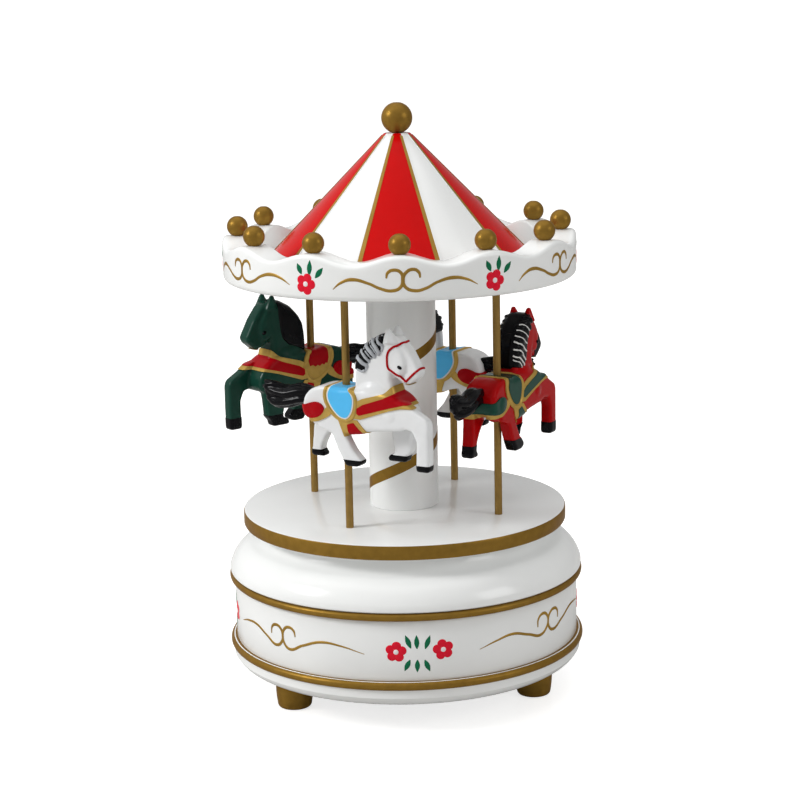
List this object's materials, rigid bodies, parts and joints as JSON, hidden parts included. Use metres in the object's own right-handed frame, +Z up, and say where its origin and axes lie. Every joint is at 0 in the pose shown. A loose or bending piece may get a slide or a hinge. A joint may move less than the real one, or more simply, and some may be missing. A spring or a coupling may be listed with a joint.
{
  "type": "wind-up carousel music box",
  "caption": "Small wooden roundabout with horses under a striped cone roof, turned by a wind-up musical movement hidden in its round base.",
  "frame": {"origin": "on the table, under the centre of the base", "axes": "+Z up along the carousel's axis, -Y towards the front, +X to the right seen from the front"},
  "size_m": [0.1057, 0.1056, 0.1731],
  "materials": {
    "white_lacquer": "glossy white lacquer over turned wood",
    "gold_paint": "satin antique gold paint on turned wood",
    "pole_brass": "antique brass, drawn rod",
    "roof_paint": "red and white gloss panels with gold lines",
    "horse_white": "gloss white with painted harness",
    "horse_red": "gloss red with painted harness",
    "horse_green": "gloss dark green with painted harness",
    "steel": "nickel-plated",
    "spring_steel": "hardened steel",
    "cast_zinc": "as cast",
    "movement_brass": "turned brass",
    "bush_plastic": "moulded"
  },
  "bodies": {
    "base": {"base_bottom": "white_lacquer", "base_screws": "steel", "movement_screws": "steel", "foot_1": "gold_paint", "foot_2": "gold_paint", "foot_3": "gold_paint", "base_drum": "white_lacquer", "base_top": "white_lacquer", "top_bush": "bush_plastic", "click": "steel", "click_post": "steel", "bedplate": "cast_zinc", "comb": "spring_steel", "comb_screws": "steel", "governor_frame": "steel"},
    "carousel": {"turntable": "white_lacquer", "drive_hub": "movement_brass", "column": "white_lacquer", "pole_1": "pole_brass", "pole_2": "pole_brass", "pole_3": "pole_brass", "pole_4": "pole_brass", "canopy_board": "white_lacquer", "crown_ring": "white_lacquer", "roof_cone": "roof_paint", "finial_ball": "gold_paint", "rim_ball_01": "gold_paint", "rim_ball_02": "gold_paint", "rim_ball_03": "gold_paint", "rim_ball_04": "gold_paint", "rim_ball_05": "gold_paint", "rim_ball_06": "gold_paint", "rim_ball_07": "gold_paint", "rim_ball_08": "gold_paint", "rim_ball_09": "gold_paint", "rim_ball_10": "gold_paint", "rim_ball_11": "gold_paint", "rim_ball_12": "gold_paint", "horse_white_front": "horse_white", "horse_red": "horse_red", "horse_white_back": "horse_white", "horse_green": "horse_green", "spring_barrel": "movement_brass", "barrel_cover": "movement_brass", "output_shaft": "steel", "mainspring": "spring_steel"},
    "cylinder": {"pinned_cylinder": "movement_brass", "cylinder_arbor": "movement_brass", "cylinder_wheel": "movement_brass"},
    "governor_wheel": {"governor_wheel": "movement_brass"},
    "governor": {"governor_worm": "steel", "air_brake": "bush_plastic"},
    "key": {"winding_key": "steel", "winding_arbor": "steel", "ratchet_wheel": "steel"}
  },
  "joints": [
    {"name": "carousel_spin", "type": "hinge", "parent": "base", "child": "carousel", "pos_m": [0, 0, 0.05], "axis": [0, 0, 1], "continuous": true},
    {"name": "cylinder_spin", "type": "hinge", "parent": "base", "child": "cylinder", "pos_m": [0.02, 0, 0.02646], "axis": [1, 0, 0], "continuous": true},
    {"name": "governor_wheel_spin", "type": "hinge", "parent": "base", "child": "governor_wheel", "pos_m": [0.03, -0.009, 0.02311], "axis": [1, 0, 0], "continuous": true},
    {"name": "governor_spin", "type": "hinge", "parent": "base", "child": "governor", "pos_m": [0.027, -0.01272, 0.02], "axis": [0, 0, 1], "continuous": true},
    {"name": "key_turn", "type": "hinge", "parent": "base", "child": "key", "pos_m": [0, 0, 0.01], "axis": [0, 0, -1], "range_deg": [0, 2070]}
  ],
  "couplings": [
    {"joint": "cylinder_spin", "follows": "carousel_spin", "ratio": -5},
    {"joint": "governor_wheel_spin", "follows": "carousel_spin", "ratio": 20},
    {"joint": "governor_spin", "follows": "carousel_spin", "ratio": 240}
  ]
}
